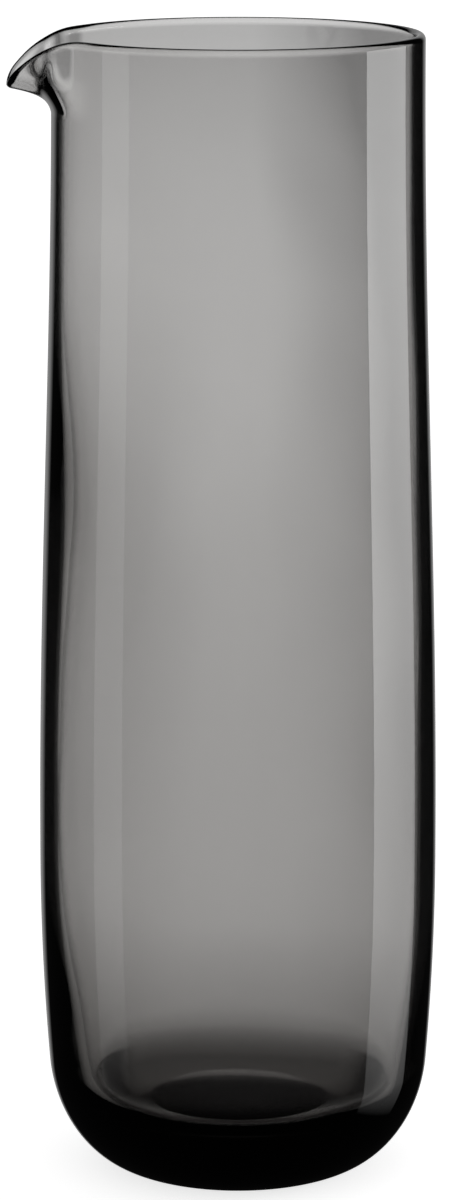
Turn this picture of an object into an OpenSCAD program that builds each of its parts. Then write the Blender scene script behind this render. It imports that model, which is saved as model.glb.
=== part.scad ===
// Tall smoke-grey glass carafe, blown in one piece, with a lip pulled out of the rim for pouring.
// The foot's centre is the origin, +Z is up and the pouring lip points to -X. Sizes are millimetres.

/* [Outside] */
// Height of the rim above the table
rim_h = 290; // [250:1:330]
// Outer diameter at the rim
rim_d = 92.6; // [84:0.2:100]
// Largest outer diameter
belly_d = 101; // [96:0.5:116]
// Height of the largest diameter
belly_h = 80; // [65:1:120]
// Diameter of the flat foot that the carafe stands on
foot_d = 53; // [40:1:66]
// Height of the rounded heel between foot and wall
heel_h = 27.5; // [20:0.5:40]
// How far the wall draws in from the belly down to the table
tuck = 4.8; // [1:0.1:8]

/* [Inside] */
// Glass thickness at the rim
rim_wall = 2.6; // [2:0.1:3.6]
// Glass thickness at the belly
belly_wall = 4.2; // [3:0.1:6]
// Thickness of the solid base
base_t = 14.5; // [8:0.5:22]
// Diameter of the flat inner floor
floor_d = 46; // [30:1:60]
// Height of the rounded bowl between inner floor and wall
bowl_h = 15.5; // [10:0.5:24]
// How far the inner wall draws in from the belly down to the table
inner_tuck = 9; // [5:0.5:12]

/* [Pouring lip] */
// How far the lip's tip stands out from the wall
lip_reach = 11.8; // [5:0.2:16]
// How far the lip's tip hangs below the rim
lip_drop = 13; // [6:0.5:16]
// Height of the strip below the rim that the lip is pulled from
lip_depth = 22; // [18:0.5:40]
// Angle from the lip's tip to the crease at either side
lip_half = 32; // [22:1:45]

/* [Finish] */
// Angle between the points of a rounded stretch
round_step = 6; // [3:1:10]
// Angle between the points of the rim's rounded edge
rim_step = 18; // [10:1:30]
// Height between the points of a straight stretch
wall_step = 12; // [6:1:20]
// Angle between the columns of the pouring lip
lip_step = 2; // [1:0.5:4]
// Height between the rows of the pouring lip
lip_row = 2.5; // [1.5:0.5:5]

/* [Hidden] */
$fn = 180;

rim_r = rim_d / 2;
belly_r = belly_d / 2;
foot_r = foot_d / 2;
floor_r = floor_d / 2;
lip_r = rim_wall / 2;
lip_h = rim_h - lip_depth;
heel_w = belly_r - tuck - foot_r;
bowl_top = base_t + bowl_h;
// The pulled lip is let into the wall around it by a small step, with a short overlap
seam_step = 0.1;
seam_lap = 1.5;
lap_angle = seam_lap / rim_r * 180 / PI;
// How far the cut for the lip runs past the rim
cut_over = 1;
// The bend is tight at the root of the lip and runs straight towards its tip
reach_bend = 2;
drop_bend = 1.3;
// Across the lip, the drop falls off earlier than the reach
drop_spread = 2.25;

// Share of a rounded corner that is cut away at height h above its lower end
function round_over(h, size) = h >= size ? 0 : 1 - sqrt(1 - pow(1 - max(h, 0) / size, 2));

// Goes smoothly from 0 at the rim to 1 at the belly
function towards_belly(z) = pow(sin(90 * (rim_h - z) / (rim_h - belly_h)), 2);

// Goes from 0 at the belly to 1 at the table
function towards_table(z) = pow(1 - z / belly_h, 2);

function outer_r(z) = z > belly_h
    ? rim_r + (belly_r - rim_r) * towards_belly(z)
    : belly_r - tuck * towards_table(z) - heel_w * round_over(z, heel_h);

function inner_wall_r(z) = z > belly_h
    ? outer_r(z) - rim_wall - (belly_wall - rim_wall) * towards_belly(z)
    : belly_r - belly_wall - inner_tuck * towards_table(z);

bowl_w = inner_wall_r(base_t) - floor_r;
function inner_r(z) = inner_wall_r(z) - bowl_w * round_over(z - base_t, bowl_h);

// Heights along a straight stretch, without its last one
function stretch(from, to, step) =
    let (n = max(1, ceil(abs(to - from) / step)))
    [for (i = [0 : n - 1]) from + (to - from) * i / n];

// Heights along a rounded corner that starts at height from
function corner(from, size) = [for (a = [0 : round_step : 90 - round_step]) from + size * (1 - cos(a))];

// The rim's rounded edge, from the outside over the top to the inside
function rim_edge(r) = [for (a = [0 : rim_step : 180])
    [rim_r - lip_r + r * cos(a), rim_h - lip_r + r * sin(a)]];

function reversed(list) = [for (i = [len(list) - 1 : -1 : 0]) list[i]];

// Half of the vessel's cross-section, from the foot up the outside and down the inside
function half_section() =
    let (taper = stretch(belly_h, rim_h - lip_r, wall_step))
    let (outside = concat(corner(0, heel_h), stretch(heel_h, belly_h, wall_step), taper))
    let (inside = concat(corner(base_t, bowl_h), stretch(bowl_top, belly_h, wall_step), taper))
    concat(
        [[0, 0]],
        [for (z = outside) [outer_r(z), z]],
        rim_edge(lip_r),
        [for (z = reversed(inside)) [inner_r(z), z]],
        [[0, base_t]]
    );

// Cross-section of the strip that the lip is pulled from, let into the wall by the seam's step
function strip_section() =
    let (rise = stretch(lip_h - seam_lap, rim_h - lip_r, lip_row))
    concat(
        [for (z = rise) [outer_r(z) - seam_step, z]],
        rim_edge(lip_r - seam_step),
        [for (z = reversed(rise)) [inner_r(z) + seam_step, z]]
    );

// Moves a point of the strip out and down, at an angle from the lip's middle
function pulled(p, angle) =
    let (h = max(0, (p[1] - lip_h) / lip_depth))
    let (across = abs(angle) >= lip_half ? 0 : cos(90 * angle / lip_half))
    let (r = p[0] + lip_reach * across * pow(h, reach_bend))
    let (z = p[1] - lip_drop * pow(across, drop_spread) * pow(h, drop_bend))
    [-r * cos(angle), -r * sin(angle), z];

// A closed section carried round by an angle from -span to span, each point moved by pulled()
module pulled_strip(section, span) {
    n = len(section);
    columns = ceil(2 * span / lip_step);
    angles = [for (k = [0 : columns]) -span + 2 * span * k / columns];
    points = [for (a = angles) for (p = section) pulled(p, a)];
    sides = [for (k = [0 : columns - 1]) for (i = [0 : n - 1])
        let (j = (i + 1) % n)
        each [[k * n + i, (k + 1) * n + j, (k + 1) * n + i], [k * n + i, k * n + j, (k + 1) * n + j]]];
    first_end = [for (i = [n - 1 : -1 : 0]) i];
    last_end = [for (i = [0 : n - 1]) columns * n + i];
    polyhedron(points, concat(sides, [first_end, last_end]));
}

// The part of the wall that the pulled strip takes the place of
module lip_window() {
    out = belly_r + lip_reach;
    side = out * tan(lip_half);
    translate([0, 0, lip_h])
        linear_extrude(lip_depth + cut_over)
            polygon([[0, 0], [-out, side], [-out, -side]]);
}

module glass_vessel() {
    color([0.25, 0.25, 0.24, 0.45])
        union() {
            difference() {
                rotate_extrude() polygon(half_section());
                lip_window();
            }
            pulled_strip(strip_section(), lip_half + lap_angle);
        }
}

glass_vessel();
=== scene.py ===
"""A tall smoke-grey glass carafe with a pulled pouring lip, standing on a white table.

The carafe is one piece of blown glass. Its wall is turned from half a section, and the lip is pulled out of
the rim. The glass is in millimetres until MM turns it into metres, and the set is in metres. Angles are
degrees unless a comment says radians.
"""
import math

import bpy
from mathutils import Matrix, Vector


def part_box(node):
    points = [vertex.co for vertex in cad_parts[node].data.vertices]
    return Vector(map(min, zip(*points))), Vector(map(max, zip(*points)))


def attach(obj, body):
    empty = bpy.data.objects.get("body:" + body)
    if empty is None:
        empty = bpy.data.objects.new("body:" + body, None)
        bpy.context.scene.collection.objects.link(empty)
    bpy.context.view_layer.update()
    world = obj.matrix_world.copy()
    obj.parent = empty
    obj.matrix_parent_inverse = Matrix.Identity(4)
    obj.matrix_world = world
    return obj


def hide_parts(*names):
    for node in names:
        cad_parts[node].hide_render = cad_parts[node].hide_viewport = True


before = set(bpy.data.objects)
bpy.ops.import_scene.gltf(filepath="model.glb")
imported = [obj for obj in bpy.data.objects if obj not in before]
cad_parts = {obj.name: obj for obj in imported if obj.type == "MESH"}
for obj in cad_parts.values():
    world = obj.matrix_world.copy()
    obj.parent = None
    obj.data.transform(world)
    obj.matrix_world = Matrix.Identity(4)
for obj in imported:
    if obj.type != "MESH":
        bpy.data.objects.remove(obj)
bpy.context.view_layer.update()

MM = 0.001

# Driving sizes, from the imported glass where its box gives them
high_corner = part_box("glass_vessel")[1]
RIM_H = high_corner.z / MM
BELLY_R = high_corner.x / MM

# Outside of the wall
RIM_R = 46.3
BELLY_H = 80.0
FOOT_R = 26.5
HEEL_H = 27.5
TUCK = 4.8

# Inside of the wall
RIM_WALL = 2.6
RIM_ROUND = 1.5
BELLY_WALL = 4.2
BASE_T = 14.5
FLOOR_R = 24.0
BOWL_H = 15.5
BOWL_BEND = 4.0
INNER_TUCK = 9.5

# The ground mark under the foot, where the blowing iron was broken off
MARK_R = 13.0
MARK_DEEP = 0.4

# Height of the strip below the rim that the lip is pulled from
LIP_DEPTH = 20.0

# How finely the section is divided: lengths, and angles round a corner
FLAT_STEP = 2.5
WALL_STEP = 4.0
LIP_ROW = 0.6
CORNER_ANGLE = 3.0
RIM_ANGLE = 15.0

# Sizes that the turning tree takes by name
GLASS_SIZES = {
    "Columns": 320,
    "Wall radius": RIM_R - RIM_WALL / 2,
    "Lip root": RIM_H - LIP_DEPTH,
    "Lip end": RIM_H - RIM_ROUND,
    # How far the lip's tip goes out and down, and how that falls off to the crease at either side
    "Lip half angle": 27.0,
    "Lip reach": 12.0,
    "Lip drop": 11.0,
    "Drop spread": 1.7,
    "Tip roundness": 6.0,
    "Crease softness": 0.5,
    # The lip leaves the wall as a broad shoulder, and its spout bends out sharply from the top of that
    "Shoulder": 4.6,
    "Shoulder rise": 11.0,
    "Shoulder softness": 0.8,
    "Spout bend": 5.5,
    # The pulled glass gets thinner towards the tip
    "Tip thinness": 0.3,
    # The side under the lip was blown a little thicker half way up, above the bowl and at the bowl's corner
    "Side depth": 1.5,
    "Side height": 172.0,
    "Side spread": 38.0,
    "Low depth": 1.3,
    "Low height": 42.0,
    "Low spread": 22.0,
    "Bowl depth": 1.6,
    "Bowl height": 18.0,
    "Bowl spread": 9.0,
    # A side of the carafe fades out round the axis as this power of a cosine
    "Side narrowness": 4.0,
    # The hand-blown inside is slightly wavy, and the waves end below the lip
    "Wave depth": 0.5,
    "Wave length": 30.0,
    "Wave fade": 20.0,
    # The outside's painted dark edge, a painted shade, is wider where the glass is thicker, and towards the
    # rim on the side away from the lip. At the spout it is narrower.
    "Edge per thickness": 0.05,
    "Away edge": 0.07,
    "Away low": 190.0,
    "Away high": 250.0,
    "Spout clearness": 0.15,
    "Least edge": 0.02,
    # The band of painted shade beside the spout, where the lip was pinched: angles from the lip's middle,
    # and heights above the lip's root. It narrows upwards, and starts higher on the far side.
    "Pinch half angle": 23.0,
    "Pinch outer softness": 2.0,
    "Pinch skew": 2.2,
    "Pinch slant": 1.4,
    "Pinch start": 1.7,
    "Pinch inner angle": 17.5,
    "Pinch inner softness": 3.5,
    "Pinch low": 2.0,
    "Pinch low softness": 7.0,
    "Pinch far rise": 7.0,
}

# Points closer than this, in metres, are merged where the turned grid closes
MERGE_GAP = 0.00001

# The photograph's view: pixels, and millimetres for the eye and the sensor
IMAGE_W = 450
IMAGE_H = 1200
FOCAL_PX = 4847
EYE_AWAY = 1200.0
EYE_H = 397.8
EYE_AZIMUTH = -3.48
LOOK_DOWN = 11.81
AXIS_COLUMN = 238.3
SENSOR = 36.0

WHITE = "#ffffff"
SMOKE = "#97938f"
SMOKE_DENSITY = 145.0
GLASS_IOR = 1.52
# How the glass is painted darker towards its edge, as painted shade: share of facing away, and colour. On
# the outside the share is moved, so that EDGE_AT is where a level view just misses the hollow.
EDGE_AT = 0.5
OUTER_EDGE_PAINTED_SHADE = [(0.45, "#ffffff"), (0.50, "#282828"), (0.54, "#020202")]
INNER_EDGE_PAINTED_SHADE = [(0.70, "#ffffff"), (0.79, "#d0d0d0"), (0.85, "#707070"), (0.95, "#202020")]
# The painted shade of the band beside the spout
PINCH_PAINTED_SHADE = "#303030"

# The table: half its side, how far it lies below the foot, its colour, and how much it is lifted for the
# eye
TABLE_SIDE = 12.0
TABLE_GAP = 0.0002
LAMINATE = "#e6e6e6"
TABLE_LIFT = 0.77
# How bright the table is painted where it is seen through the glass, with a painted shadow and a painted
# pool of light: distance from the carafe, and level
FAR = 4.0
POOL = [(0.017, 0.01), (0.0245, 0.06), (0.0268, 0.45), (0.034, 0.42), (0.045, 0.22), (0.055, 0.2),
        (0.065, 0.41), (0.075, 0.53), (0.11, 0.65), (0.2, 0.8), (1.2, 0.83), (3.2, 0.57)]
# Where it is dimmer there, each as a start, an end and the share at both. What the right side loses, by
# place, and how much of that counts, by the angle in radians from straight behind.
RIGHT_DIM = (0.02, 0.2, 0.0, 0.5)
RIGHT_BEHIND = (0.45, 0.8, 1.0, 0.0)
# What the left side loses, by place, and how much of that counts, by distance
LEFT_DIM = (-0.08, -0.02, 0.15, 0.0)
LEFT_CLOSE = (0.9, 1.5, 1.0, 0.0)
# What the front keeps, by place, and what it keeps at least, by distance
FRONT_KEEPS = (-0.03, -0.008, 0.1, 1.0)
FRONT_PAST = (0.05, 0.09, 0.0, 1.0)

# How each soft lamp fades towards its lower end: share of its height, and level
RIGHT_FADE = [(0.03, 0.0), (0.26, 0.15), (0.6, 0.77), (0.85, 1.0)]
LEFT_FADE = [(0.1, 0.0), (0.3, 0.8), (0.8, 1.0)]
# The room's level for the eye and for plain light. Then, as a start, an end and the level at both: upwards
# for light seen through the glass, and backwards for reflections.
ROOM_SEEN = 1.0
ROOM_LIGHT = 0.45
ROOM_THROUGH = (0.0, 0.25, 0.6, 0.015)
ROOM_MIRRORED = (0.88, 0.94, 0.006, 0.4)

RANGE = ("From Min", "From Max", "To Min", "To Max")


def linear(hex_colour):
    """Turns an sRGB hex colour into linear red, green, blue and full alpha."""
    parts = [int(hex_colour[i:i + 2], 16) / 255 for i in (1, 3, 5)]
    return [c / 12.92 if c <= 0.04045 else ((c + 0.055) / 1.055) ** 2.4 for c in parts] + [1.0]


def add(tree, kind, inputs=None, **settings):
    """Adds a node with its settings or ramp stops, and sets or links its inputs by name or number."""
    node = tree.nodes.new(kind)
    for number, (position, colour) in enumerate(settings.pop("stops", [])):
        ramp = node.color_ramp.elements
        if number == 0:
            ramp.remove(ramp[1])
        stop = ramp[0] if number == 0 else ramp.new(position)
        stop.position = position
        stop.color = colour
    for name, value in settings.items():
        setattr(node, name, value)
    for key, value in (inputs or {}).items():
        if isinstance(value, bpy.types.NodeSocket):
            tree.links.new(value, node.inputs[key])
        else:
            node.inputs[key].default_value = value
    return node


# The half section of the glass

def round_over(height, size):
    """Share of a rounded corner that is cut away at a height above its lower end."""
    if height >= size:
        return 0.0
    return 1.0 - math.sqrt(1.0 - (1.0 - max(height, 0.0) / size) ** 2)


def towards_belly(z):
    """Goes smoothly from 0 at the rim to 1 at the belly."""
    return math.sin(math.pi / 2 * (RIM_H - z) / (RIM_H - BELLY_H)) ** 2


def towards_table(z):
    """Goes from 0 at the belly to 1 at the table."""
    return (1.0 - z / BELLY_H) ** 2


def outer_radius(z):
    if z > BELLY_H:
        return RIM_R + (BELLY_R - RIM_R) * towards_belly(z)
    heel_width = BELLY_R - TUCK - FOOT_R
    return BELLY_R - TUCK * towards_table(z) - heel_width * round_over(z, HEEL_H)


def inner_wall_radius(z):
    if z > BELLY_H:
        return outer_radius(z) - RIM_WALL - (BELLY_WALL - RIM_WALL) * towards_belly(z)
    return BELLY_R - BELLY_WALL - INNER_TUCK * towards_table(z)


def inner_radius(z):
    bowl_width = inner_wall_radius(BASE_T) - FLOOR_R
    return inner_wall_radius(z) - bowl_width * max(0.0, 1.0 - (z - BASE_T) / BOWL_H) ** BOWL_BEND


def edge_facing(z):
    """How far the outside faces away where a level view just misses the hollow, from 0 to 1."""
    hollow = inner_radius(max(z, BASE_T)) / outer_radius(max(z, BASE_T))
    return 1.0 - math.sqrt(1.0 - hollow ** 2)


def stretch(start, end, step):
    """Evenly spaced values from start to end, without the end."""
    count = max(1, math.ceil(abs(end - start) / step))
    return [start + (end - start) * i / count for i in range(count)]


def corner(start, size):
    """Heights along a rounded corner that starts at a height, without its end."""
    return [start + size * (1.0 - math.cos(math.radians(a))) for a in stretch(0, 90, CORNER_ANGLE)]


def half_section():
    """Radius and height of each point, from the foot's centre up the outside and down the inside."""
    edge_r = RIM_WALL / 2
    lip_h = RIM_H - LIP_DEPTH
    rim_base = RIM_H - RIM_ROUND
    upper = stretch(BELLY_H, lip_h, WALL_STEP) + stretch(lip_h, rim_base, LIP_ROW)
    outside = corner(0, HEEL_H) + stretch(HEEL_H, BELLY_H, WALL_STEP) + upper
    bowl_top = BASE_T + BOWL_H
    inside = corner(BASE_T, BOWL_H) + stretch(bowl_top, BELLY_H, WALL_STEP) + upper
    mark = [(r, MARK_DEEP * (1.0 - (r / MARK_R) ** 2)) for r in stretch(0, MARK_R, FLAT_STEP)]
    foot = [(r, 0.0) for r in stretch(MARK_R, FOOT_R, FLAT_STEP)]
    rim = [(RIM_R - edge_r + edge_r * math.cos(a), rim_base + RIM_ROUND * math.sin(a))
           for a in [math.radians(d) for d in stretch(0, 180, RIM_ANGLE)]]
    floor = [(r, BASE_T) for r in stretch(FLOOR_R, 0, FLAT_STEP)]
    return (mark + foot + [(outer_radius(z), z) for z in outside] + rim
            + [(RIM_R - RIM_WALL, rim_base)]
            + [(inner_radius(z), z) for z in reversed(inside)] + floor[1:] + [(0.0, BASE_T)])


# The sums that turn the section and pull the lip. Each has a name, an operation, and the numbers or names
# that it takes. A name with a capital is one of the tree's sizes.

def lobe_sums(place):
    """How much thicker the wall is at one place, as a soft lobe over the height."""
    own = place.lower()
    return [
        (own + "_above", "SUBTRACT", "height", place + " height"),
        (own + "_off", "DIVIDE", own + "_above", place + " spread"),
        (own + "_square", "MULTIPLY", own + "_off", own + "_off"),
        (own + "_fall", "MULTIPLY", own + "_square", -1.0),
        (own + "_lobe", "EXPONENT", own + "_fall"),
        (own + "_swell", "MULTIPLY", own + "_lobe", place + " depth"),
    ]


def round_sums():
    """Each point's row and column of the grid, and its turn in radians from the lip's middle."""
    return [
        ("around", "ADD", "Columns", 1.0),
        ("index_middle", "ADD", "index", 0.5),
        ("row_share", "DIVIDE", "index_middle", "around"),
        ("row", "FLOOR", "row_share"),
        ("row_start", "MULTIPLY", "row", "around"),
        ("column", "SUBTRACT", "index", "row_start"),
        ("column_share", "DIVIDE", "column", "Columns"),
        ("turn", "MULTIPLY_ADD", "column_share", math.tau, -math.pi),
        ("cosine", "COSINE", "turn"),
        ("sine", "SINE", "turn"),
    ]


def swell_sums():
    """How much thicker the glass is than its section: lobes on the lip's side, and waves all round."""
    return lobe_sums("Side") + lobe_sums("Low") + lobe_sums("Bowl") + [
        ("towards_lip", "MAXIMUM", "cosine", 0.0),
        ("lip_side", "POWER", "towards_lip", "Side narrowness"),
        ("upper_lobes", "ADD", "side_swell", "low_swell"),
        ("lobes", "ADD", "upper_lobes", "bowl_swell"),
        ("round_x", "MULTIPLY", "cosine", "Wall radius"),
        ("round_y", "MULTIPLY", "sine", "Wall radius"),
        ("wave_scale", "DIVIDE", 1.0, "Wave length"),
        ("wave_level", "SUBTRACT", "noise", 0.5),
        ("wave", "MULTIPLY", "wave_level", "Wave depth"),
        ("below_root", "SUBTRACT", "Lip root", "height"),
        ("wave_rise", "DIVIDE", "below_root", "Wave fade"),
        ("wave_start", "MAXIMUM", "wave_rise", 0.0),
        ("wave_share", "MINIMUM", "wave_start", 1.0),
        ("waves", "MULTIPLY", "wave", "wave_share"),
        ("wall_swell", "MULTIPLY_ADD", "lobes", "lip_side", "waves"),
        ("radius_share", "DIVIDE", "section_r", "Wall radius"),
        ("swell", "MULTIPLY", "wall_swell", "radius_share"),
    ]


def lip_sums():
    """How far the wall's middle goes out and down for the lip, and the direction that it takes there."""
    return [
        # How far across the lip and how far up its strip a point lies, each from 0 to 1
        ("tip", "RADIANS", "Tip roundness"),
        ("tip_square", "MULTIPLY", "tip", "tip"),
        ("turn_square", "MULTIPLY_ADD", "turn", "turn", "tip_square"),
        ("turn_slant", "SQRT", "turn_square"),
        ("turn_span", "SUBTRACT", "turn_slant", "tip"),
        ("half", "RADIANS", "Lip half angle"),
        ("half_square", "MULTIPLY_ADD", "half", "half", "tip_square"),
        ("half_slant", "SQRT", "half_square"),
        ("half_span", "SUBTRACT", "half_slant", "tip"),
        ("span_share", "DIVIDE", "turn_span", "half_span"),
        ("taper", "SUBTRACT", 1.0, "span_share"),
        ("across", "SMOOTH_MAX", "taper", 0.0, "Crease softness"),
        ("level", "MINIMUM", "height", "Lip end"),
        ("over", "SUBTRACT", "height", "level"),
        ("strip", "SUBTRACT", "Lip end", "Lip root"),
        ("above_root", "SUBTRACT", "level", "Lip root"),
        ("strip_share", "DIVIDE", "above_root", "strip"),
        ("high", "MAXIMUM", "strip_share", 0.0),
        # How far the wall drops, and how steeply it still rises
        ("drop_share", "POWER", "across", "Drop spread"),
        ("most_drop", "MULTIPLY", "Lip drop", "drop_share"),
        ("drop", "MULTIPLY", "most_drop", "high"),
        ("dropped", "SUBTRACT", "level", "drop"),
        ("settled", "SUBTRACT", "dropped", "Lip root"),
        ("down", "DIVIDE", "most_drop", "strip"),
        ("rise", "SUBTRACT", 1.0, "down"),
        # The shoulder's reach and steepness
        ("most_reach", "MULTIPLY", "Lip reach", "across"),
        ("shoulder", "SMOOTH_MIN", "most_reach", "Shoulder", "Shoulder softness"),
        ("climb_share", "DIVIDE", "settled", "Shoulder rise"),
        ("climb_start", "MAXIMUM", "climb_share", 0.0),
        ("climb", "MINIMUM", "climb_start", 1.0),
        ("climb_left", "SUBTRACT", 1.0, "climb"),
        ("climb_both", "MULTIPLY", "climb", "climb_left"),
        ("climb_slope", "MULTIPLY", "climb_both", 6.0),
        ("slope", "DIVIDE", "climb_slope", "Shoulder rise"),
        ("eased", "SMOOTHSTEP", "settled", 0.0, "Shoulder rise"),
        ("shoulder_slope", "MULTIPLY", "shoulder", "slope"),
        # The spout's reach and steepness, and both together
        ("spout", "SUBTRACT", "most_reach", "shoulder"),
        ("spout_share", "POWER", "high", "Spout bend"),
        ("spout_reach", "MULTIPLY", "spout", "spout_share"),
        ("reach", "MULTIPLY_ADD", "shoulder", "eased", "spout_reach"),
        ("slope_bend", "SUBTRACT", "Spout bend", 1.0),
        ("slope_share", "POWER", "high", "slope_bend"),
        ("spout_bent", "MULTIPLY", "spout", "Spout bend"),
        ("spout_slope", "MULTIPLY", "spout_bent", "slope_share"),
        ("spout_out", "DIVIDE", "spout_slope", "strip"),
        ("out", "MULTIPLY_ADD", "shoulder_slope", "rise", "spout_out"),
        # The direction that the wall's middle takes, as shares of a step out and up
        ("out_square", "MULTIPLY", "out", "out"),
        ("step_square", "MULTIPLY_ADD", "rise", "rise", "out_square"),
        ("step", "SQRT", "step_square"),
        ("along_out", "DIVIDE", "out", "step"),
        ("along_up", "DIVIDE", "rise", "step"),
        ("reach_share", "DIVIDE", "reach", "Lip reach"),
    ]


def look_sums():
    """The outside's painted dark edge and the painted shade of the band beside the spout, which the glass's
    material reads.
    """
    return [
        ("outside", "GREATER_THAN", "own_edge", 0.0),
        ("from_lip", "MULTIPLY", "cosine", -1.0),
        ("away_from_lip", "MAXIMUM", "from_lip", 0.0),
        ("away_side", "POWER", "away_from_lip", "Side narrowness"),
        ("away_rise", "SMOOTHSTEP", "height", "Away low", "Away high"),
        ("away_share", "MULTIPLY", "away_side", "away_rise"),
        ("away_wider", "MULTIPLY", "away_share", "Away edge"),
        ("wider", "MULTIPLY_ADD", "swell", "Edge per thickness", "away_wider"),
        ("narrower", "MULTIPLY", "Spout clearness", "reach_share"),
        ("edge_shift", "SUBTRACT", "narrower", "wider"),
        ("shifted_edge", "ADD", "own_edge", "edge_shift"),
        ("kept_edge", "MAXIMUM", "shifted_edge", "Least edge"),
        ("edge", "MULTIPLY", "kept_edge", "outside"),
        # The band of painted shade beside the spout begins at an angle that grows with the height, and ends
        # beside the crease
        ("turn_degrees", "DEGREES", "turn"),
        ("skewed", "SUBTRACT", "turn_degrees", "Pinch skew"),
        ("angle", "ABSOLUTE", "skewed"),
        ("slanted", "MULTIPLY", "settled", "Pinch slant"),
        ("slanted_start", "SUBTRACT", "slanted", "Pinch start"),
        ("inner_start", "MINIMUM", "slanted_start", "Pinch inner angle"),
        ("inner_end", "ADD", "inner_start", "Pinch inner softness"),
        ("past_inner", "SMOOTHSTEP", "angle", "inner_start", "inner_end"),
        ("outer_start", "SUBTRACT", "Pinch half angle", "Pinch outer softness"),
        ("outer_end", "ADD", "Pinch half angle", "Pinch outer softness"),
        ("past_outer", "SMOOTHSTEP", "angle", "outer_start", "outer_end"),
        ("before_outer", "SUBTRACT", 1.0, "past_outer"),
        ("band", "MULTIPLY", "past_inner", "before_outer"),
        ("far_side", "GREATER_THAN", "turn", 0.0),
        ("low_start", "MULTIPLY_ADD", "far_side", "Pinch far rise", "Pinch low"),
        ("low_end", "ADD", "low_start", "Pinch low softness"),
        ("past_low", "SMOOTHSTEP", "settled", "low_start", "low_end"),
        ("high_band", "MULTIPLY", "band", "past_low"),
        ("painted_pinch_shade_mask", "MULTIPLY", "high_band", "outside"),
    ]


def place_sums():
    """Where each point goes: the glass keeps its thickness square to the direction of the wall's middle."""
    return [
        ("inside", "SUBTRACT", 1.0, "outside"),
        ("stands_in", "MULTIPLY", "swell", "inside"),
        ("radius", "SUBTRACT", "section_r", "stands_in"),
        ("from_middle", "SUBTRACT", "radius", "Wall radius"),
        ("thinner", "MULTIPLY", "Tip thinness", "reach_share"),
        ("thickness", "SUBTRACT", 1.0, "thinner"),
        ("aside", "MULTIPLY", "from_middle", "thickness"),
        ("middle_out", "ADD", "Wall radius", "reach"),
        ("aside_out", "MULTIPLY", "aside", "along_up"),
        ("point_out", "MULTIPLY_ADD", "over", "along_out", "aside_out"),
        ("away", "ADD", "middle_out", "point_out"),
        ("over_up", "MULTIPLY", "over", "along_up"),
        ("aside_down", "MULTIPLY", "aside", "along_out"),
        ("point_up", "SUBTRACT", "over_up", "aside_down"),
        ("up", "ADD", "dropped", "point_up"),
        ("away_back", "MULTIPLY", "away", "cosine"),
        ("x", "MULTIPLY", "away_back", -1.0),
        ("y", "MULTIPLY", "away", "sine"),
    ]


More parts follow.
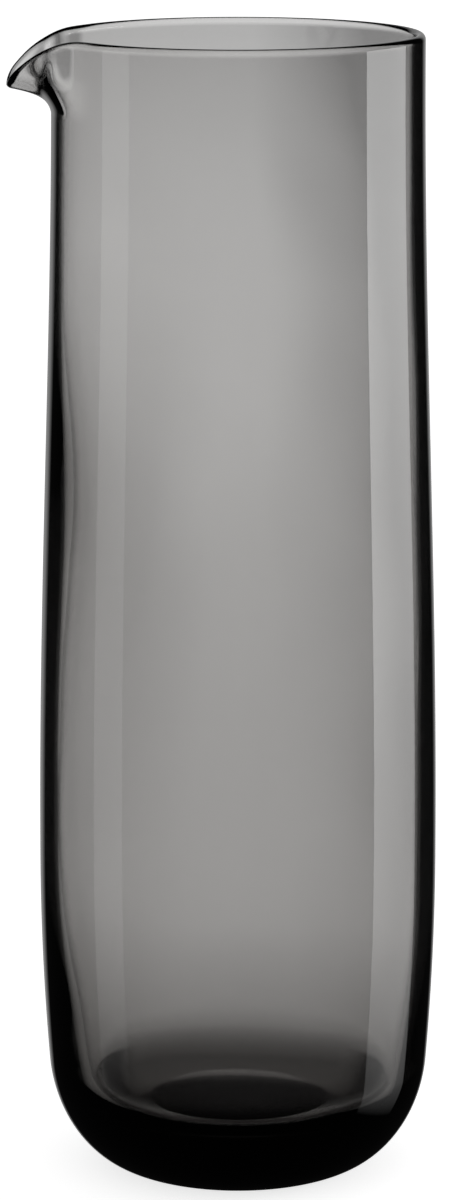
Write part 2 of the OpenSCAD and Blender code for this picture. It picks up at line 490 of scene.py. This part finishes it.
def turning_tree():
    """A tree that carries the half section round the axis and pulls the pouring lip out of the rim."""
    tree = bpy.data.node_groups.new("turned_and_pulled_glass", "GeometryNodeTree")
    tree.interface.new_socket("Section", in_out="INPUT", socket_type="NodeSocketGeometry")
    for name, value in GLASS_SIZES.items():
        kind = "NodeSocketInt" if isinstance(value, int) else "NodeSocketFloat"
        tree.interface.new_socket(name, in_out="INPUT", socket_type=kind)
    tree.interface.new_socket("Glass", in_out="INPUT", socket_type="NodeSocketMaterial")
    tree.interface.new_socket("Geometry", in_out="OUTPUT", socket_type="NodeSocketGeometry")
    given = tree.nodes.new("NodeGroupInput").outputs
    made = {name: given[name] for name in GLASS_SIZES}

    # What the sums start from: a point's number, the point of the section that its row takes, and the waves
    made["index"] = tree.nodes.new("GeometryNodeInputIndex").outputs[0]
    place = tree.nodes.new("GeometryNodeInputPosition").outputs[0]
    edge = add(tree, "GeometryNodeInputNamedAttribute", {"Name": "edge"}, data_type="FLOAT")
    taken_place, taken_edge = [
        add(tree, "GeometryNodeSampleIndex", {"Geometry": given["Section"], "Value": value}, data_type=kind)
        for value, kind in ((place, "FLOAT_VECTOR"), (edge.outputs["Attribute"], "FLOAT"))]
    point = add(tree, "ShaderNodeSeparateXYZ", {0: taken_place.outputs["Value"]}).outputs
    made["section_r"] = point["X"]
    made["height"] = point["Z"]
    made["own_edge"] = taken_edge.outputs["Value"]
    waves = add(tree, "ShaderNodeTexNoise", {"Detail": 0.0})
    made["noise"] = waves.outputs[0]

    for name, operation, *values in round_sums() + swell_sums() + lip_sums() + look_sums() + place_sums():
        values = [made[value] if isinstance(value, str) else value for value in values]
        if operation == "SMOOTHSTEP":
            inputs = dict(zip(("Value", "From Min", "From Max"), values))
            node = add(tree, "ShaderNodeMapRange", inputs, interpolation_type=operation)
        else:
            node = add(tree, "ShaderNodeMath", dict(enumerate(values)), operation=operation)
        made[name] = node.outputs[0]

    for taken in (taken_place, taken_edge):
        tree.links.new(made["row"], taken.inputs["Index"])
    on_wall = {"X": made["round_x"], "Y": made["round_y"], "Z": made["height"]}
    tree.links.new(add(tree, "ShaderNodeCombineXYZ", on_wall).outputs[0], waves.inputs["Vector"])
    tree.links.new(made["wave_scale"], waves.inputs["Scale"])

    # A grid with a row for each point of the section is moved to its place and closed
    rows = add(tree, "GeometryNodeAttributeDomainSize", {"Geometry": given["Section"]})
    grid = add(tree, "GeometryNodeMeshGrid",
               {"Vertices X": rows.outputs["Point Count"], "Vertices Y": made["around"]})
    new_place = add(tree, "ShaderNodeCombineXYZ", {"X": made["x"], "Y": made["y"], "Z": made["up"]})
    scaled = add(tree, "ShaderNodeVectorMath", {0: new_place.outputs[0], "Scale": MM}, operation="SCALE")
    glass = add(tree, "GeometryNodeSetPosition",
                {"Geometry": grid.outputs["Mesh"], "Position": scaled.outputs[0]})
    for name in ("edge", "painted_pinch_shade_mask"):
        glass = add(tree, "GeometryNodeStoreNamedAttribute",
                    {"Geometry": glass.outputs[0], "Name": name, "Value": made[name]}, domain="POINT")
    closed = add(tree, "GeometryNodeMergeByDistance", {"Geometry": glass.outputs[0], "Distance": MERGE_GAP})
    smooth = add(tree, "GeometryNodeSetShadeSmooth", {"Geometry": closed.outputs[0]})
    real = add(tree, "GeometryNodeRealizeInstances", {"Geometry": smooth.outputs[0]})
    glazed = add(tree, "GeometryNodeSetMaterial", {"Geometry": real.outputs[0], "Material": given["Glass"]})
    add(tree, "NodeGroupOutput", {"Geometry": glazed.outputs[0]})
    return tree


def glass_vessel(glass):
    """The whole carafe as one closed mesh, turned by the tree from its half section."""
    points = [(r, 0.0, z) for r, z in half_section()]
    top_row = max(range(len(points)), key=lambda i: points[i][2])
    lines = [(i, i + 1) for i in range(len(points) - 1)]
    section = bpy.data.meshes.new("half_section")
    section.from_pydata(points, lines, [])
    # The outside's rows hold where its painted dark edge starts, and the inside's hold 0
    edges = [edge_facing(z) if i < top_row else 0.0 for i, (r, y, z) in enumerate(points)]
    section.attributes.new("edge", "FLOAT", "POINT").data.foreach_set("value", edges)
    source = bpy.data.objects.new("half_section", section)
    bpy.context.scene.collection.objects.link(source)
    tree = turning_tree()
    turning = source.modifiers.new("turning", "NODES")
    turning.node_group = tree
    sockets = {s.name: s.identifier for s in tree.interface.items_tree if s.in_out == "INPUT"}
    for name, value in GLASS_SIZES.items():
        turning[sockets[name]] = value
    turning[sockets["Glass"]] = glass
    evaluated = source.evaluated_get(bpy.context.evaluated_depsgraph_get())
    mesh = bpy.data.meshes.new_from_object(evaluated)
    mesh.name = "carafe_glass"
    bpy.data.objects.remove(source)
    vessel = bpy.data.objects.new("carafe_glass", mesh)
    bpy.context.scene.collection.objects.link(vessel)
    return vessel


# Materials

def smoke_glass():
    """Soda-lime glass, melted with a grey colour and fire-polished.

    To the eye it is clear and glossy, and darker where it is thick. Its edge is painted black and the band
    beside the spout painted darker, as painted shade.
    """
    material = bpy.data.materials.new("smoke_grey_soda_lime_glass_fire_polished")
    material.use_nodes = True
    tree = material.node_tree
    tree.nodes.clear()
    # Painted shade: the glass's colour goes dark where its surface faces away, at the edge, and in the band
    # beside the spout
    facing = add(tree, "ShaderNodeLayerWeight", {"Blend": 0.5}).outputs["Facing"]
    edge = add(tree, "ShaderNodeAttribute", attribute_name="edge").outputs["Fac"]
    outside = add(tree, "ShaderNodeMath", {0: edge, 1: 0.0}, operation="GREATER_THAN").outputs[0]
    past_edge = add(tree, "ShaderNodeMath", {0: facing, 1: edge}, operation="SUBTRACT").outputs[0]
    shifted = add(tree, "ShaderNodeMath", {0: past_edge, 1: EDGE_AT}, operation="ADD").outputs[0]
    inner, outer = [
        add(tree, "ShaderNodeValToRGB", {0: away}, stops=[(at, linear(colour)) for at, colour in stops])
        for away, stops in ((facing, INNER_EDGE_PAINTED_SHADE), (shifted, OUTER_EDGE_PAINTED_SHADE))]
    painted_edge_shade = add(tree, "ShaderNodeMix",
                    {0: outside, 6: inner.outputs["Color"], 7: outer.outputs["Color"]}, data_type="RGBA")
    # Painted shade: the band beside the spout is painted a darker grey
    painted_pinch_shade_mask = add(tree, "ShaderNodeAttribute", attribute_name="painted_pinch_shade_mask").outputs["Fac"]
    pinch_painted_shade = add(tree, "ShaderNodeMix", {0: painted_pinch_shade_mask, 6: linear(WHITE), 7: linear(PINCH_PAINTED_SHADE)}, data_type="RGBA")
    painted_edge_and_pinch_shade = add(tree, "ShaderNodeMix", {0: 1.0, 6: painted_edge_shade.outputs[2], 7: pinch_painted_shade.outputs[2]},
               data_type="RGBA", blend_type="MULTIPLY")
    shader = add(tree, "ShaderNodeBsdfPrincipled", {
        "Base Color": painted_edge_and_pinch_shade.outputs[2], "Transmission Weight": 1.0, "IOR": GLASS_IOR, "Roughness": 0.0,
    })
    inside = add(tree, "ShaderNodeVolumeAbsorption", {"Color": linear(SMOKE), "Density": SMOKE_DENSITY})
    add(tree, "ShaderNodeOutputMaterial", {"Surface": shader.outputs[0], "Volume": inside.outputs[0]})
    return material


def white_table():
    """Matt white laminate: it takes a soft shadow, and shows as white to the eye."""
    material = bpy.data.materials.new("matt_white_laminate")
    material.use_nodes = True
    tree = material.node_tree
    tree.nodes.clear()
    matt = add(tree, "ShaderNodeBsdfDiffuse", {"Color": linear(LAMINATE)})
    path = tree.nodes.new("ShaderNodeLightPath").outputs
    lift = add(tree, "ShaderNodeMath", {0: path["Is Camera Ray"], 1: TABLE_LIFT}, operation="MULTIPLY")
    glow = add(tree, "ShaderNodeEmission", {"Color": linear(WHITE), "Strength": lift.outputs[0]})
    both = add(tree, "ShaderNodeAddShader", {0: matt.outputs[0], 1: glow.outputs[0]})

    # Through the glass, the table shows a painted shadow under the foot and just in front of it, a painted
    # pool of light brightest about a metre off, and painted shade at both sides
    place = tree.nodes.new("ShaderNodeTexCoord").outputs["Object"]
    away = add(tree, "ShaderNodeVectorMath", {0: place}, operation="LENGTH").outputs["Value"]
    share = add(tree, "ShaderNodeMath", {0: away, 1: FAR}, operation="DIVIDE").outputs[0]
    pool = add(tree, "ShaderNodeValToRGB", {0: share},
               stops=[(at / FAR, [level, level, level, 1.0]) for at, level in POOL])
    part = add(tree, "ShaderNodeSeparateXYZ", {0: place}).outputs
    angle = add(tree, "ShaderNodeMath", {0: part["X"], 1: part["Y"]}, operation="ARCTAN2").outputs[0]
    right, behind, left, close, front, past = [
        add(tree, "ShaderNodeMapRange", {"Value": value, **dict(zip(RANGE, span))}).outputs[0]
        for value, span in ((part["X"], RIGHT_DIM), (angle, RIGHT_BEHIND), (part["X"], LEFT_DIM),
                            (away, LEFT_CLOSE), (part["Y"], FRONT_KEEPS), (away, FRONT_PAST))]
    right_side = add(tree, "ShaderNodeMath", {0: right, 1: behind}, operation="MULTIPLY").outputs[0]
    sides = add(tree, "ShaderNodeMath", {0: left, 1: close, 2: right_side}, operation="MULTIPLY_ADD")
    past_sides = add(tree, "ShaderNodeMath", {0: 1.0, 1: sides.outputs[0]}, operation="SUBTRACT").outputs[0]
    past_front = add(tree, "ShaderNodeMath", {0: front, 1: past}, operation="MAXIMUM").outputs[0]
    left_over = add(tree, "ShaderNodeMath", {0: past_sides, 1: past_front}, operation="MULTIPLY").outputs[0]
    through = add(tree, "ShaderNodeEmission", {"Color": pool.outputs["Color"], "Strength": left_over})
    seen = add(tree, "ShaderNodeMixShader",
               {0: path["Is Transmission Ray"], 1: both.outputs[0], 2: through.outputs[0]})
    add(tree, "ShaderNodeOutputMaterial", {"Surface": seen.outputs[0]})
    return material


# The set

def table():
    mesh = bpy.data.meshes.new("table")
    corners = [(x * TABLE_SIDE, y * TABLE_SIDE, -TABLE_GAP)
               for x, y in ((-1, -1), (1, -1), (1, 1), (-1, 1))]
    mesh.from_pydata(corners, [], [(0, 1, 2, 3)])
    mesh.materials.append(white_table())
    board = bpy.data.objects.new("table", mesh)
    bpy.context.scene.collection.objects.link(board)
    board.rotation_euler.z = math.radians(EYE_AZIMUTH)
    board.visible_glossy = False


def softbox(name, azimuth, away, centre_h, width, height, radiance, fade, far_side=1.0):
    """A soft lamp that faces the carafe's axis, at an angle from the camera's side.

    It fades towards its lower end, and across its width to the level of far_side.
    """
    data = bpy.data.lights.new(name, "AREA")
    data.shape = "RECTANGLE"
    data.size = width
    data.size_y = height
    data.energy = radiance * math.pi * width * height
    data.use_nodes = True
    tree = data.node_tree
    tree.nodes.clear()
    across = tree.nodes.new("ShaderNodeNewGeometry").outputs["Parametric"]
    part = add(tree, "ShaderNodeSeparateXYZ", {0: across}).outputs
    fading = add(tree, "ShaderNodeValToRGB", {0: part["Y"]},
                 stops=[(at, [level, level, level, 1.0]) for at, level in fade])
    sideways = add(tree, "ShaderNodeMapRange", {"Value": part["X"], "To Min": 1.0, "To Max": far_side})
    shine = add(tree, "ShaderNodeEmission",
                {"Color": fading.outputs["Color"], "Strength": sideways.outputs[0]})
    add(tree, "ShaderNodeOutputLight", {"Surface": shine.outputs[0]})
    lamp = bpy.data.objects.new(name, data)
    angle = math.radians(azimuth)
    lamp.location = (away * math.sin(angle), -away * math.cos(angle), centre_h)
    towards_axis = Vector((-lamp.location.x, -lamp.location.y, 0))
    lamp.rotation_euler = towards_axis.to_track_quat("-Z", "Y").to_euler()
    lamp.visible_camera = False
    lamp.visible_transmission = False
    bpy.context.scene.collection.objects.link(lamp)


def studio():
    """Two soft lamps, and a room with its own level for the eye, through glass, mirrored and as light."""
    softbox("softbox_right", azimuth=98.8, away=0.8, centre_h=-0.1, width=0.56, height=0.9,
            radiance=4.0, fade=RIGHT_FADE, far_side=0.5)
    softbox("softbox_left", azimuth=-82.2, away=0.8, centre_h=-0.025, width=0.294, height=0.75,
            radiance=0.8, fade=LEFT_FADE)
    world = bpy.data.worlds.new("white_studio")
    world.use_nodes = True
    bpy.context.scene.world = world
    tree = world.node_tree
    tree.nodes.clear()
    room = tree.nodes.new("ShaderNodeTexCoord").outputs["Generated"]
    towards = add(tree, "ShaderNodeSeparateXYZ", {0: room}).outputs
    through, mirrored = [
        add(tree, "ShaderNodeMapRange", {"Value": towards[axis], **dict(zip(RANGE, span))}).outputs[0]
        for axis, span in (("Z", ROOM_THROUGH), ("Y", ROOM_MIRRORED))]
    path = tree.nodes.new("ShaderNodeLightPath").outputs
    level = ROOM_LIGHT
    for ray, value in (("Is Glossy Ray", mirrored), ("Is Transmission Ray", through),
                       ("Is Camera Ray", ROOM_SEEN)):
        level = add(tree, "ShaderNodeMix", {0: path[ray], 2: level, 3: value}, data_type="FLOAT").outputs[0]
    light = add(tree, "ShaderNodeBackground", {"Color": linear(WHITE), "Strength": level})
    add(tree, "ShaderNodeOutputWorld", {"Surface": light.outputs[0]})


def camera():
    data = bpy.data.cameras.new("camera")
    data.sensor_fit = "VERTICAL"
    data.sensor_height = SENSOR
    data.lens = SENSOR * FOCAL_PX / IMAGE_H
    eye = bpy.data.objects.new("camera", data)
    around = math.radians(EYE_AZIMUTH)
    eye.location = Vector((EYE_AWAY * math.sin(around), -EYE_AWAY * math.cos(around), EYE_H)) * MM
    aside = math.atan((AXIS_COLUMN - IMAGE_W / 2) / FOCAL_PX)
    eye.rotation_euler = (math.radians(90 - LOOK_DOWN), 0, around + aside)
    bpy.context.scene.collection.objects.link(eye)
    bpy.context.scene.camera = eye


bpy.context.scene.view_settings.view_transform = "Standard"
camera()
studio()
table()
vessel = glass_vessel(smoke_glass())
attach(vessel, "root")
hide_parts("glass_vessel")
